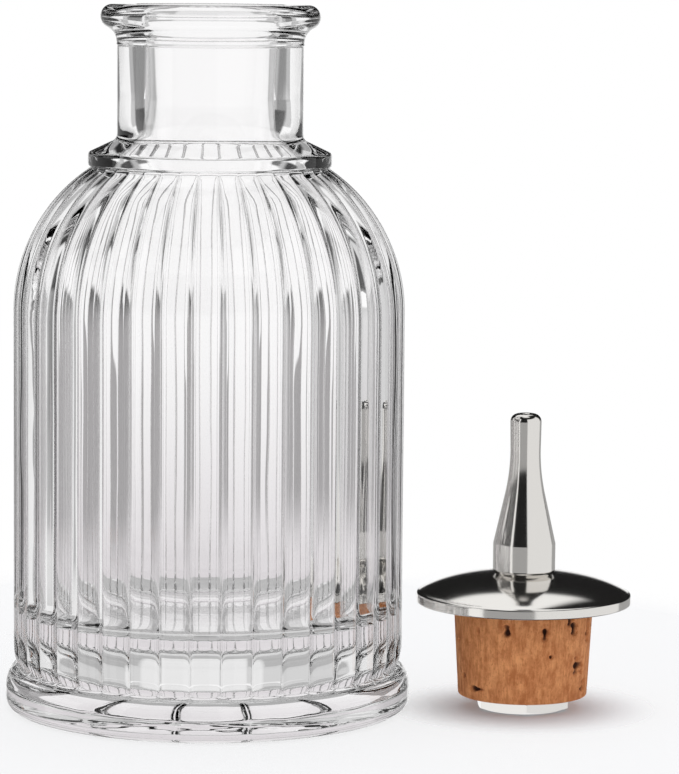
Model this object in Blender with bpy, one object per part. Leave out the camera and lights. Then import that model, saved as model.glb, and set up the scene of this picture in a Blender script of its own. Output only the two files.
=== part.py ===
"""Bitters bottle: a reeded pressed-glass bottle and its dasher stopper.

The bottle stands on the plane z = 0 with its axis on Z. The stopper stands upright beside it,
on the flat of its nut. Lengths below are millimetres, and the meshes are metres.
"""

import math

import bmesh
import bpy
import numpy as np

MM = 0.001

# The bottle's outside: radii from its axis, heights from the table
BOTTLE_HEIGHT = 105.0
BODY_RADIUS = 29.2
FOOT_RADIUS = 30.35
FOOT_EDGE = 1.5
FOOT_BAND_TOP = 3.3
FOOT_TOP = 6.35
SHOULDER_START = 59.5
SHOULDER_RADIUS = 25.6
COLLAR_RADIUS = 18.1
COLLAR_BAND = 2.3
COLLAR_TUCK = 0.45
COLLAR_EDGE = 0.6
COLLAR_BEVEL = 1.5
NECK_RADIUS = 13.8
NECK_COVE = 1.3
LIP_RADIUS = 16.3
LIP_DEPTH = 5.9
LIP_ROLL = 1.8
MOULD_LINE = 0.15

# The reeds round the body
REED_COUNT = 40
REED_DEPTH = 0.75
REED_TURN = math.radians(-3.1)
REED_STEPS = 4
REED_TOE = 2.6
REED_FADE = 0.35
TOE_INSET = 0.9
TOE_RISE = 0.55

# The bottle's inside
WALL = 3.9
FLOOR_HEIGHT = 14.0
FLOOR_CORNER = 3.0
BORE_RADIUS = 9.6
MOUTH_RADIUS = 10.0
BORE_FILLET = 8.0
MOUTH_EDGE = 1.4

# The underside
RING_WIDTH = 4.0
RECESS_DEPTH = 0.5

# The stopper, from the table up: its cork fits the mouth and its disc fits the lip
STOPPER_SPACE = 1.0
SEAT_GAP = 0.2
BORE_GAP = 0.3
NUT_FLATS = 13.1
NUT_THICKNESS = 1.85
NUT_CHAMFER = 0.45
NUT_FACE_EDGE = 0.2
NUT_TURN = math.radians(2.5)
CORK_HEIGHT = 14.0
CORK_ENTRY = 0.3
CORK_SQUEEZE = 0.45
CORK_EDGE = 0.25
DISC_INSET = 0.2
DISC_BAND = 1.45
DISC_RISE = 2.85
DISC_EDGE = 0.25
CORK_SEAT = 0.3
NOZZLE_HEIGHT = 24.05
NOZZLE_BASE_RADIUS = 4.7
NOZZLE_BASE_HEIGHT = 4.5
NOZZLE_EDGE = 0.5
NOZZLE_NECK_RADIUS = 2.28
NOZZLE_NECK_START = 15.2
NOZZLE_BLEND = 3.3
TIP_RADIUS = 2.36
TIP_EDGE = 1.2
TIP_HOLE = 0.6
STEM_RADIUS = 3.0
STEM_BORE = 1.5
STEM_RECESS = 0.35
SOCKET_DEPTH = 3.6

# Sizes that follow from those above
DISC_RADIUS = LIP_RADIUS - DISC_INSET
CORK_FOOT_RADIUS = MOUTH_RADIUS - CORK_ENTRY
CORK_TOP_RADIUS = MOUTH_RADIUS + CORK_SQUEEZE
STOPPER_REACH = FOOT_RADIUS + STOPPER_SPACE + DISC_RADIUS
SHOULDER_CENTRE = BODY_RADIUS - SHOULDER_RADIUS
LAND_INNER = MOUTH_RADIUS + MOUTH_EDGE

# How finely round forms are cut
ROUND_STEPS = 80
INSIDE_STEPS = 40
DISC_STEPS = 64
SMALL_STEPS = 36


def clear_scene():
    """Empty the file of its objects."""
    for old in list(bpy.data.objects):
        bpy.data.objects.remove(old, do_unlink=True)


def finish(name, colour, roughness, metallic=0.0, transmission=0.0):
    """One plain Principled material."""
    material = bpy.data.materials.new(name)
    material.use_nodes = True
    shader = material.node_tree.nodes["Principled BSDF"]
    shader.inputs["Base Color"].default_value = (*colour, 1.0)
    shader.inputs["Roughness"].default_value = roughness
    shader.inputs["Metallic"].default_value = metallic
    shader.inputs["Transmission Weight"].default_value = transmission
    material.diffuse_color = (*colour, 1.0)
    return material


def arc(centre, radii, start, end, steps):
    """Points (radius, height) on an arc or ellipse, from one angle to another, in degrees from level."""
    sweep = math.radians(end - start)
    angles = [math.radians(start) + sweep * k / steps for k in range(steps + 1)]
    return [
        (centre[0] + radii[0] * math.cos(a), centre[1] + radii[1] * math.sin(a))
        for a in angles
    ]


def bend(start, corner, end, steps):
    """Points of a smooth bend from start to end that leaves and arrives along the lines to corner."""
    points = []
    for k in range(steps + 1):
        t = k / steps
        points.append(tuple(
            (1 - t) ** 2 * a + 2 * t * (1 - t) * b + t * t * c
            for a, b, c in zip(start, corner, end)
        ))
    return points


def ring(crest, valley, steps):
    """One turn of points: it touches crest on the reeds' crests and valley in the grooves between them."""
    angles = np.linspace(0.0, math.tau, steps, endpoint=False)
    across = (angles * REED_COUNT / math.tau) % 1.0
    dip = (2.0 * across - 1.0) ** 2
    radius = crest[0] + (valley[0] - crest[0]) * dip
    height = crest[1] + (valley[1] - crest[1]) * dip
    turned = angles + REED_TURN - math.pi / 2
    return np.stack((radius * np.cos(turned), radius * np.sin(turned), height), axis=1) * MM


def plain_rings(profile, steps):
    """Rings for a plain turned outline of (radius, height) points."""
    return [ring(point, point, steps) for point in profile]


def strip(lower, upper):
    """Faces between two rings of vertices: equal counts give quads, and half as many give fans of three."""
    faces = []
    if len(lower) == len(upper):
        count = len(lower)
        for k in range(count):
            n = (k + 1) % count
            faces.append((lower[k], lower[n], upper[n], upper[k]))
        return faces
    flip = len(lower) < len(upper)
    fine, coarse = (upper, lower) if flip else (lower, upper)
    for k, here in enumerate(coarse):
        onward = coarse[(k + 1) % len(coarse)]
        first, middle, last = (fine[(2 * k + j) % len(fine)] for j in range(3))
        fan = [(first, middle, here), (middle, onward, here), (middle, last, onward)]
        faces += [tuple(reversed(face)) for face in fan] if flip else fan
    return faces


def loft(name, rings, closed, material):
    """One closed skin through the rings: joined end to start, or capped at its first and last ring."""
    mesh = bpy.data.meshes.new(name)
    shape = bmesh.new()
    turns = [[shape.verts.new(point) for point in points] for points in rings]
    pairs = list(zip(turns, turns[1:]))
    if closed:
        pairs.append((turns[-1], turns[0]))
    for lower, upper in pairs:
        for face in strip(lower, upper):
            shape.faces.new(face)
    if not closed:
        shape.faces.new(list(reversed(turns[0])))
        shape.faces.new(turns[-1])
    bmesh.ops.recalc_face_normals(shape, faces=shape.faces)
    shape.to_mesh(mesh)
    shape.free()
    mesh.materials.append(material)
    mesh.shade_smooth()
    mesh.set_sharp_from_angle(angle=math.radians(35.0))
    part = bpy.data.objects.new(name, mesh)
    bpy.context.collection.objects.link(part)
    return part


def hold(part, carrier):
    """Hang a part on its carrier, whose place becomes the part's own."""
    part.parent = carrier


def shoulder_sweep(radius, reach):
    """Angle, in degrees, at which a shoulder arc has drawn in to the radius reach."""
    return math.degrees(math.acos((reach - SHOULDER_CENTRE) / radius))


def foot_rings():
    """Rest ring, rounded lower edge, band and rounded top of the foot, up to where the reeds stand on it."""
    ring_outer = FOOT_RADIUS - FOOT_EDGE
    ring_inner = ring_outer - RING_WIDTH
    top_width = FOOT_RADIUS - BODY_RADIUS + TOE_INSET
    outline = [
        (ring_inner - RECESS_DEPTH, RECESS_DEPTH),
        (ring_inner, 0.0),
    ]
    outline += arc((ring_outer, FOOT_EDGE), (FOOT_EDGE, FOOT_EDGE), -90, 0, 4)
    outline += arc(
        (FOOT_RADIUS - top_width, FOOT_BAND_TOP), (top_width, FOOT_TOP - FOOT_BAND_TOP), 0, 66, 3
    )
    return plain_rings(outline, ROUND_STEPS)


def reed_rings():
    """The reeds: round toes on the foot, straight crests, and crests that shrink over the shoulder."""
    steps = REED_COUNT * REED_STEPS
    valley = BODY_RADIUS - REED_DEPTH
    full = FOOT_TOP + REED_TOE
    rings = [
        ring((BODY_RADIUS - TOE_INSET, FOOT_TOP), (valley - TOE_INSET / 2, FOOT_TOP + TOE_RISE), steps),
        ring((BODY_RADIUS - TOE_INSET / 4, FOOT_TOP + REED_TOE / 3), (valley, FOOT_TOP + REED_TOE / 2), steps),
        ring((BODY_RADIUS, full), (valley, full), steps),
    ]
    crests = arc(
        (SHOULDER_CENTRE, SHOULDER_START),
        (SHOULDER_RADIUS, SHOULDER_RADIUS),
        0,
        shoulder_sweep(SHOULDER_RADIUS, COLLAR_RADIUS),
        6,
    )
    for radius, height in crests:
        share = (radius - COLLAR_RADIUS) / (BODY_RADIUS - COLLAR_RADIUS)
        depth = REED_DEPTH * (REED_FADE + (1.0 - REED_FADE) * share)
        lean = math.asin((height - SHOULDER_START) / SHOULDER_RADIUS)
        low = (radius - depth * math.cos(lean), height - depth * math.sin(lean))
        rings.append(ring((radius, height), low, steps))
    return rings


def collar_rings():
    """Tuck under the collar, its band, its sloping top and the cove into the neck."""
    sweep = math.radians(shoulder_sweep(SHOULDER_RADIUS, COLLAR_RADIUS))
    root = SHOULDER_START + SHOULDER_RADIUS * math.sin(sweep)
    base = root + COLLAR_TUCK
    top = base + COLLAR_BAND
    bevel_top = top + COLLAR_BEVEL
    outline = [
        (COLLAR_RADIUS - COLLAR_TUCK, base),
        (COLLAR_RADIUS, base + COLLAR_TUCK),
    ]
    outline += arc((COLLAR_RADIUS - COLLAR_EDGE, top - COLLAR_EDGE), (COLLAR_EDGE, COLLAR_EDGE), 0, 60, 2)
    outline += bend(
        (NECK_RADIUS + NECK_COVE / 2, bevel_top),
        (NECK_RADIUS, bevel_top + COLLAR_BEVEL / 4),
        (NECK_RADIUS, bevel_top + NECK_COVE),
        3,
    )
    return plain_rings(outline, ROUND_STEPS)


def lip_rings():
    """Mould line near the top of the neck, and the rolled lip: half round outside, level on top."""
    foot = BOTTLE_HEIGHT - LIP_DEPTH
    middle = BOTTLE_HEIGHT - LIP_ROLL
    outline = [
        (NECK_RADIUS, foot - MOULD_LINE),
        (NECK_RADIUS + MOULD_LINE, foot),
        (NECK_RADIUS + MOULD_LINE / 2, foot + MOULD_LINE),
        (NECK_RADIUS + MOULD_LINE, middle - LIP_ROLL * 1.2),
    ]
    outline += arc((LIP_RADIUS - LIP_ROLL, middle), (LIP_ROLL, LIP_ROLL), -54, 90, 8)
    outline += [(LAND_INNER, BOTTLE_HEIGHT)]
    return plain_rings(outline, ROUND_STEPS)


def inside_rings():
    """Mouth, tapering bore, inner shoulder, inner wall and floor, from the mouth down."""
    radius = SHOULDER_RADIUS - WALL
    leave = shoulder_sweep(radius, BORE_RADIUS + BORE_FILLET)
    entry = (
        SHOULDER_CENTRE + radius * math.cos(math.radians(leave)),
        SHOULDER_START + radius * math.sin(math.radians(leave)),
    )
    corner = (BORE_RADIUS, entry[1] + BORE_FILLET / math.tan(math.radians(leave)))
    outline = bend(
        (LAND_INNER - MOUTH_EDGE / 4, BOTTLE_HEIGHT - MOUTH_EDGE / 8),
        (MOUTH_RADIUS, BOTTLE_HEIGHT - MOUTH_EDGE / 8),
        (MOUTH_RADIUS, BOTTLE_HEIGHT - MOUTH_EDGE),
        2,
    )
    outline += bend((BORE_RADIUS, corner[1] + BORE_FILLET), corner, entry, 3)
    outline += arc((SHOULDER_CENTRE, SHOULDER_START), (radius, radius), leave, 0, 5)[1:]
    wall = BODY_RADIUS - WALL
    outline += arc(
        (wall - FLOOR_CORNER, FLOOR_HEIGHT + FLOOR_CORNER), (FLOOR_CORNER, FLOOR_CORNER), 0, -90, 4
    )
    return plain_rings(outline, INSIDE_STEPS)


def glass_bottle():
    """The bottle as one skin: underside, foot, reeds, collar, lip, and down the inside to the floor."""
    glass = finish("clear_glass", (0.96, 0.97, 0.97), 0.03, transmission=1.0)
    rings = foot_rings() + reed_rings() + collar_rings() + lip_rings() + inside_rings()
    return loft("glass_bottle", rings, False, glass)


def stopper_levels():
    """Heights of the stopper's seats, from the table up."""
    cork_foot = NUT_THICKNESS + SEAT_GAP
    cork_top = cork_foot + CORK_HEIGHT
    disc_foot = cork_top + SEAT_GAP - CORK_SEAT
    nozzle_foot = disc_foot + DISC_BAND + DISC_RISE + SEAT_GAP
    return cork_foot, cork_top, disc_foot, nozzle_foot


def clamp_nut(metal):
    """Thin hexagonal nut: a hexagonal bar cut between two chamfer cones, with the stem's hole through it."""
    inner = STEM_RADIUS + BORE_GAP
    face = NUT_FLATS / 2 - NUT_FACE_EDGE
    corner = NUT_FLATS / math.sqrt(3.0)
    outline = [
        (face, 0.0),
        (corner, NUT_CHAMFER),
        (corner, NUT_THICKNESS - NUT_CHAMFER),
        (face, NUT_THICKNESS),
        (inner, NUT_THICKNESS),
        (inner, 0.0),
    ]
    nut = loft("clamp_nut", plain_rings(outline, SMALL_STEPS), True, metal)
    bpy.ops.mesh.primitive_cylinder_add(
        vertices=6,
        radius=corner * MM,
        depth=NUT_THICKNESS * 3 * MM,
        location=(0, 0, NUT_THICKNESS / 2 * MM),
        rotation=(0, 0, NUT_TURN),
    )
    bar = bpy.context.object
    bar.name = "nut_bar"
    bar.hide_render = True
    bar.display_type = "WIRE"
    cut = nut.modifiers.new("six_flats", "BOOLEAN")
    cut.operation = "INTERSECT"
    cut.solver = "EXACT"
    cut.object = bar
    return nut, bar


def threaded_stem(metal):
    """Hollow tube from inside the nut, through cork and disc, into the nozzle's socket."""
    nozzle_foot = stopper_levels()[3]
    top = nozzle_foot + SOCKET_DEPTH - BORE_GAP
    outline = [
        (STEM_RADIUS, STEM_RECESS),
        (STEM_RADIUS, top),
        (STEM_BORE, top),
        (STEM_BORE, STEM_RECESS),
    ]
    return loft("threaded_stem", plain_rings(outline, INSIDE_STEPS), True, metal)


def cork_plug(cork):
    """Tapered cork with softened edges and a hole for the stem."""
    foot, top, _, _ = stopper_levels()
    inner = STEM_RADIUS + BORE_GAP
    outline = [
        (CORK_FOOT_RADIUS - CORK_EDGE, foot),
        (CORK_FOOT_RADIUS, foot + CORK_EDGE),
        (CORK_TOP_RADIUS, top - CORK_EDGE),
        (CORK_TOP_RADIUS - CORK_EDGE, top),
        (inner, top),
        (inner, foot),
    ]
    return loft("cork_plug", plain_rings(outline, SMALL_STEPS), True, cork)


def cap_disc(metal):
    """Domed disc: flat landing round a shallow seat for the cork, rim band, dome and the nozzle's seat."""
    foot = stopper_levels()[2]
    inner = STEM_RADIUS + BORE_GAP
    cork_seat = CORK_TOP_RADIUS + BORE_GAP
    nozzle_seat = NOZZLE_BASE_RADIUS + DISC_EDGE
    rim_top = foot + DISC_BAND
    edge = DISC_RADIUS - DISC_EDGE
    drop = (edge ** 2 - nozzle_seat ** 2 - DISC_RISE ** 2) / (2 * DISC_RISE)
    sphere = math.hypot(edge, drop)
    start = math.degrees(math.acos(edge / sphere))
    end = math.degrees(math.acos(nozzle_seat / sphere))
    outline = [
        (edge, foot),
        (DISC_RADIUS, foot + DISC_EDGE),
        (DISC_RADIUS, rim_top - DISC_EDGE),
    ]
    outline += arc((0.0, rim_top - drop), (sphere, sphere), start, end, 6)
    outline += [
        (inner, rim_top + DISC_RISE),
        (inner, foot + CORK_SEAT),
        (cork_seat, foot + CORK_SEAT),
        (cork_seat, foot),
    ]
    return loft("cap_disc", plain_rings(outline, DISC_STEPS), True, metal)


def dash_nozzle(metal):
    """Turned nozzle: plain base, straight cone bent into a slim neck, round tip, and a passage through it."""
    foot = stopper_levels()[3]
    base_top = foot + NOZZLE_BASE_HEIGHT
    neck = foot + NOZZLE_NECK_START
    tip = foot + NOZZLE_HEIGHT
    socket = STEM_RADIUS + BORE_GAP
    slope = (NOZZLE_BASE_RADIUS - NOZZLE_NECK_RADIUS) / (neck - base_top)
    outline = [
        (NOZZLE_BASE_RADIUS - NOZZLE_EDGE, foot),
        (NOZZLE_BASE_RADIUS, foot + NOZZLE_EDGE),
        (NOZZLE_BASE_RADIUS, base_top),
    ]
    outline += bend(
        (NOZZLE_NECK_RADIUS + slope * NOZZLE_BLEND, neck - NOZZLE_BLEND),
        (NOZZLE_NECK_RADIUS, neck),
        (NOZZLE_NECK_RADIUS, neck + NOZZLE_BLEND),
        5,
    )
    outline += arc((TIP_RADIUS - TIP_EDGE, tip - TIP_EDGE), (TIP_EDGE, TIP_EDGE), 0, 90, 4)
    outline += [
        (TIP_HOLE, tip),
        (TIP_HOLE, tip - TIP_EDGE),
        (STEM_BORE, neck),
        (STEM_BORE, foot + SOCKET_DEPTH),
        (socket, foot + SOCKET_DEPTH),
        (socket, foot),
    ]
    return loft("dash_nozzle", plain_rings(outline, SMALL_STEPS), True, metal)


def stopper():
    """The stopper's pieces, carried by one empty on the stopper's axis."""
    nickel = finish("polished_nickel", (0.83, 0.81, 0.78), 0.08, metallic=1.0)
    plain_steel = finish("plain_steel", (0.62, 0.61, 0.6), 0.3, metallic=1.0)
    cork = finish("natural_cork", (0.62, 0.34, 0.17), 0.8)
    carrier = bpy.data.objects.new("stopper_axis", None)
    bpy.context.collection.objects.link(carrier)
    nut, bar = clamp_nut(nickel)
    for part in (nut, bar, threaded_stem(plain_steel), cork_plug(cork), cap_disc(nickel), dash_nozzle(nickel)):
        hold(part, carrier)
    carrier.location = (STOPPER_REACH * MM, 0.0, 0.0)


def main():
    """Build the whole object."""
    clear_scene()
    glass_bottle()
    stopper()
    bpy.context.view_layer.update()


main()
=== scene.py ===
"""Bitters bottle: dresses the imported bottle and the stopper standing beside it, and lights them.

The bottle's axis is Z and it stands on z = 0. The stopper's axis is upright at STOPPER_X.
Sizes are written in millimetres and kept in metres.
"""

import math

import bpy
import numpy as np
from mathutils import Matrix, Vector


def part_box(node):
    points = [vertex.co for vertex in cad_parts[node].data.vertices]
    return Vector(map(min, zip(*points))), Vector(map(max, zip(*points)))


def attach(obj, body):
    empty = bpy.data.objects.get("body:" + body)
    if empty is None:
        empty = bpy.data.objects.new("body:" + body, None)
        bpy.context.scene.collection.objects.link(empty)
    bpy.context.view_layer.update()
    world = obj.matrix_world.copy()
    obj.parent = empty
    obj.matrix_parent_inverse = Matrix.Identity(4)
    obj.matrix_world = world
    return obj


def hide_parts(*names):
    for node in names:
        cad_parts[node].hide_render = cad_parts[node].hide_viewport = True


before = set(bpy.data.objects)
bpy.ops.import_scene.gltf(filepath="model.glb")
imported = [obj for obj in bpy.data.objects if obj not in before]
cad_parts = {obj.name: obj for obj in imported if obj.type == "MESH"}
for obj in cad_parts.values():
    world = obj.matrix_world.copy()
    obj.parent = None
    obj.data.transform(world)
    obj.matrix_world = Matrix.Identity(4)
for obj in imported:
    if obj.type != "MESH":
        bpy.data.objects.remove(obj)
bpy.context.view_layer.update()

bl_info = {
    "name": "Bitters Bottle",
    "version": (1, 0, 0),
    "blender": (4, 5, 0),
    "location": "3D View > Sidebar > Bottle",
    "description": "Builds the bottle and its stopper round the packed frame, with finishes and light",
    "category": "Add Mesh",
}

MM = 0.001
STOPPER_X = float(sum(corner[0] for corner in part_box("dash_nozzle")) / 2)
LIP_TOP = float(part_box("glass_bottle")[1][2])
CORK_LOW, CORK_TOP = (float(corner[2]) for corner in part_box("cork_plug"))
DISC_LOW, DISC_TOP = (float(corner[2]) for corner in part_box("cap_disc"))
NOZZLE_LOW, NOZZLE_TOP = (float(corner[2]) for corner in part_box("dash_nozzle"))

# A flat that reaches the axis starts at this share of its radius, and a fan of triangles fills the rest
HUB_SHARE = 1 / 40
# Points across one reed, and how much closer together they lie at its edges than in its middle
REED_STEPS = 12
REED_CROWDING = 0.82
# Waves of the uneven inside: size, how many go round, radians per metre of height, and start in radians
INSIDE_WAVES = ((1.0, 3, 70, 0.4), (0.8, 7, -160, 1.9), (0.6, 12, 240, 0.0), (0.5, 5, 410, 2.6))

# Pits on the cork's front: turn from the front in radians, height, half width and half height in mm
CORK_PITS = (
    (-0.27, 13.1, 0.50, 0.95), (0.29, 12.9, 0.38, 1.05), (0.70, 14.5, 0.55, 0.65),
    (0.80, 13.3, 0.60, 0.95), (1.15, 12.0, 0.60, 1.10), (0.39, 9.1, 0.32, 0.45),
    (0.94, 7.3, 0.90, 1.20), (-0.85, 3.8, 1.00, 0.50), (1.10, 3.9, 0.60, 0.95),
    (-0.75, 12.8, 0.28, 0.55),
)
# Pits spread over the rest of it: how many, then the range of each of the same four numbers
MORE_PITS = 16
PIT_RANGES = ((1.3, 5.2), (3.0, 15.0), (0.2, 0.5), (0.3, 0.8))

# The table's radius and height, in metres
TABLE_RIM = (0.15, -0.0001)
# Distances from the bottle's axis over which the table fades out, and from the stopper's axis over
# which its shade gets lighter, with the share of that at the start
TABLE_FADE = (0.07, 0.13)
CONTACT_FADE = (0.008, 0.022)
CONTACT_SHARE = 0.1

# The back card: half its width, its distance behind the bottle's axis and its height, in metres
CARD_SIZE = (0.15, 0.056, 0.076)
# Heights on it, or distances to the right, between which a tone changes, in metres
CARD_WHITE = (0.0, 0.055)
CARD_LEFT = (-0.021, -0.0195)
CARD_RIGHT = (0.0165, 0.018)
CARD_FAR_RIGHT = (0.04, 0.05)
CARD_LEFT_FOOT = (0.008, 0.022)
CARD_RIGHT_FOOT = (0.012, 0.026)
CARD_DARK = (0.048, 0.06)
CARD_TOP = (0.059, 0.062)
CARD_TAPER = (0.04, 0.062)
# How much the middle widens over the taper, and what is left of the sides far right and at the left foot
CARD_WIDENING = 0.014
FAR_RIGHT_SHARE = 0.4
LEFT_FOOT_SHARE = 0.25

# Patches of light that a view holds. Each row has a level, two bearings, two rises above the horizon
# and the softness of its sides. All angles are in degrees, and bearing 0 lies behind the object.
METAL_LIGHTS = (
    (1.0, -17, 17, -90, 3, 2),
    (1.0, -104, -77, -36, 24, 2),
    (1.0, -104, -60, 0, 24, 2),
    (0.85, 58, 171, -36, 48, 2),
    (1.0, -134, -114, -36, 45, 1),
)
GLASS_LIGHTS = (
    (1.0, -24, 24, -9, 34, 3),
    (1.0, -38, 38, 22, 36, 3),
    (0.55, -38, 38, -3, 36, 4),
    (0.82, -13, 13, -27, -6, 3),
    (0.64, -44, 44, -14, -6, 4),
    (0.9, -84, -66, -14, 26, 2),
    (0.65, 62, 96, -14, 30, 2),
)
# Lights on both sides and round to the camera: level, smallest bearing and two rises
GLASS_SIDE_LIGHTS = (
    (0.85, 34, -27, -9),
    (0.66, 62, -90, -20),
    (0.7, 108, -90, 4),
)
# Patches of shade, in rows like those of the lights: the level is the share of light that they take
GLASS_SHADES = (
    (0.85, 32, 54, 39, 48, 3),
    (0.85, -54, -33, 39, 48, 3),
    (0.51, 36, 56, -8, 39, 3),
    (0.51, -64, -36, -8, 39, 3),
)

# Soft lamps: name, place and size in metres, and level
LAMPS = (
    ("top_lamp", (0.02, 0.15, 0.9), 0.7, 1.25),
    ("left_lamp", (-0.8, -0.5, 0.5), 0.6, 0.4),
)
LAMP_AIM = (0.02, 0.0, 0.03)


def length(title, words, default):
    """A length for the panel: default in millimetres, kept in metres."""
    return bpy.props.FloatProperty(
        name=title, description=words, default=default * MM, unit="LENGTH", precision=5
    )


def tint(title, words, default):
    """A colour for the panel."""
    return bpy.props.FloatVectorProperty(
        name=title, description=words, default=default, size=3, subtype="COLOR", min=0.0, max=1.0
    )


def share(title, words, default):
    """A plain number from 0 to 1 for the panel."""
    return bpy.props.FloatProperty(
        name=title, description=words, default=default, min=0.0, max=1.0, subtype="FACTOR"
    )


def limited(title, words, default, low, high):
    """A plain number between two limits for the panel."""
    return bpy.props.FloatProperty(name=title, description=words, default=default, min=low, max=high)


def degrees(title, words, default):
    """An angle for the panel: default in degrees, kept in radians."""
    return bpy.props.FloatProperty(
        name=title, description=words, default=math.radians(default), subtype="ANGLE"
    )


class GlassSizes(bpy.types.PropertyGroup):
    """Sizes of the glass: radii from its axis, heights from the table."""

    body: length("Body radius", "Over the reeds' crests", 29.2)
    foot: length("Foot radius", "Of the foot band", 30.35)
    foot_edge: length("Foot edge", "Radius of the foot's lower edge", 1.5)
    band_top: length("Foot band top", "Height at which the foot band ends", 3.3)
    foot_top: length("Foot top", "Height at which the reeds stand on the foot", 6.35)
    ring_width: length("Rest ring", "Width of the ring that the bottle stands on", 4.0)
    recess: length("Recess", "Depth of the recess under the foot", 0.5)
    shoulder_start: length("Shoulder start", "Height at which the shoulder draws in", 59.5)
    shoulder: length("Shoulder radius", "Of the shoulder's arc", 25.6)
    collar: length("Collar radius", "Of the ring at the root of the neck", 18.1)
    collar_band: length("Collar band", "Height of the collar's upright band", 2.3)
    collar_tuck: length("Collar tuck", "Undercut below the collar", 0.45)
    collar_edge: length("Collar edge", "Rounding of the collar's edges", 0.6)
    collar_bevel: length("Collar bevel", "Height of the collar's sloping top", 1.5)
    neck: length("Neck radius", "Outside of the neck", 13.8)
    cove: length("Neck cove", "Hollow between collar and neck", 1.3)
    lip: length("Lip radius", "Outside of the rolled lip", 16.3)
    lip_depth: length("Lip depth", "From the lip's top to the mould line", 5.9)
    lip_roll: length("Lip roll", "Radius of the lip's rounding", 1.8)
    mould_line: length("Mould line", "Step at the lip's mould line", 0.15)
    reed_depth: length("Reed depth", "From crest to valley", 0.75)
    crown: share("Crown", "Share of the reeds' depth in their crowns, the rest being in the grooves", 0.45)
    groove: limited("Groove", "How narrow the grooves between reeds are", 12.0, 2.0, 30.0)
    reed_toe: length("Reed toe", "Height of the reeds' rounded lower ends", 2.6)
    toe_inset: length("Toe inset", "How far the toes stand in from the crests", 0.9)
    toe_rise: length("Toe rise", "How much higher the valleys begin", 0.55)
    wall: length("Wall", "Thickness of the glass at the body", 3.9)
    floor: length("Floor", "Height of the inside floor", 14.0)
    floor_corner: length("Floor corner", "Rounding of the inside floor's edge", 3.0)
    bore: length("Bore radius", "Inside of the neck", 9.6)
    mouth: length("Mouth radius", "Inside of the lip", 10.0)
    bore_fillet: length("Bore fillet", "Rounding from the bore to the inner shoulder", 8.0)
    mouth_edge: length("Mouth edge", "Rounding of the mouth", 1.4)
    reeds: bpy.props.IntProperty(name="Reeds", description="Reeds round the body", default=40, min=8)
    reed_turn: degrees("Reed turn", "Where the first valley lies, from the front", -3.1)
    reed_fade: share("Reed fade", "Share of the reeds' depth that is left at the collar", 0.2)
    ripple: length("Ripple", "Unevenness of the inside, as pressing leaves it", 0.05)


class StopperSizes(bpy.types.PropertyGroup):
    """Sizes of the stopper's pieces: radii from its axis, heights from the piece's own foot."""

    disc: length("Disc radius", "Outside of the domed disc", 16.1)
    disc_band: length("Disc band", "Height of the disc's rim", 1.45)
    disc_fullness: length("Disc fullness", "How much the dome bulges over an even curve", 0.3)
    disc_edge: length("Disc edge", "Rounding of the rim's edges", 0.22)
    cork_foot: length("Cork foot radius", "At the cork's small end", 9.7)
    cork_head: length("Cork head radius", "At the cork's large end", 10.45)
    cork_edge: length("Cork edge", "Softened edges of the cork", 0.3)
    pit_depth: length("Pit depth", "Depth of the cork's deepest pits", 0.9)
    nut_flats: length("Nut across flats", "Width of the nut", 13.1)
    nut_chamfer: length("Nut chamfer", "Height of the chamfers on the nut's corners", 0.45)
    nut_face: length("Nut face", "How far the nut's flat faces end inside its flats", 0.2)
    hole: length("Stem hole radius", "Through nut, cork and disc", 3.3)
    base: length("Nozzle base radius", "Of the plain base", 4.7)
    base_height: length("Nozzle base height", "Of the plain base", 4.5)
    nozzle_edge: length("Nozzle edge", "Chamfer at the nozzle's foot", 0.5)
    neck: length("Nozzle neck radius", "Of the slim neck", 2.28)
    neck_start: length("Nozzle neck start", "Height at which the cone meets the neck", 15.2)
    blend: length("Nozzle blend", "Length of the bend on either side of that", 3.3)
    tip: length("Tip radius", "Of the rounded tip", 2.36)
    tip_edge: length("Tip edge", "Rounding of the tip", 1.2)
    tip_hole: length("Tip hole radius", "Of the hole that lets the drops out", 0.6)
    passage: length("Passage radius", "Of the passage through the nozzle", 1.5)
    nut_turn: degrees("Nut turn", "Turn of the nut's corners", 2.5)


class Finishes(bpy.types.PropertyGroup):
    """Colours and gloss."""

    glass: tint("Glass", "Colour of the glass", (0.998, 0.995, 0.997))
    glass_index: limited("Glass index", "How strongly the glass bends light", 1.5, 1.0, 2.0)
    nickel: tint("Nickel", "Colour of the polished metal", (0.86, 0.835, 0.80))
    nickel_gloss: share("Nickel roughness", "Roughness of the polished metal", 0.06)
    rub_roughness: share("Rub roughness", "How much rougher the metal is where it is rubbed", 0.16)
    steel: tint("Steel", "Colour of the hidden tube", (0.62, 0.61, 0.6))
    cork_light: tint("Light cork", "Palest grain of the cork", (0.93, 0.42, 0.175))
    cork_dark: tint("Dark cork", "Darkest grain of the cork", (0.50, 0.165, 0.055))
    cork_pit: tint("Cork pits", "Inside of the cork's pits", (0.06, 0.022, 0.012))


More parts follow.
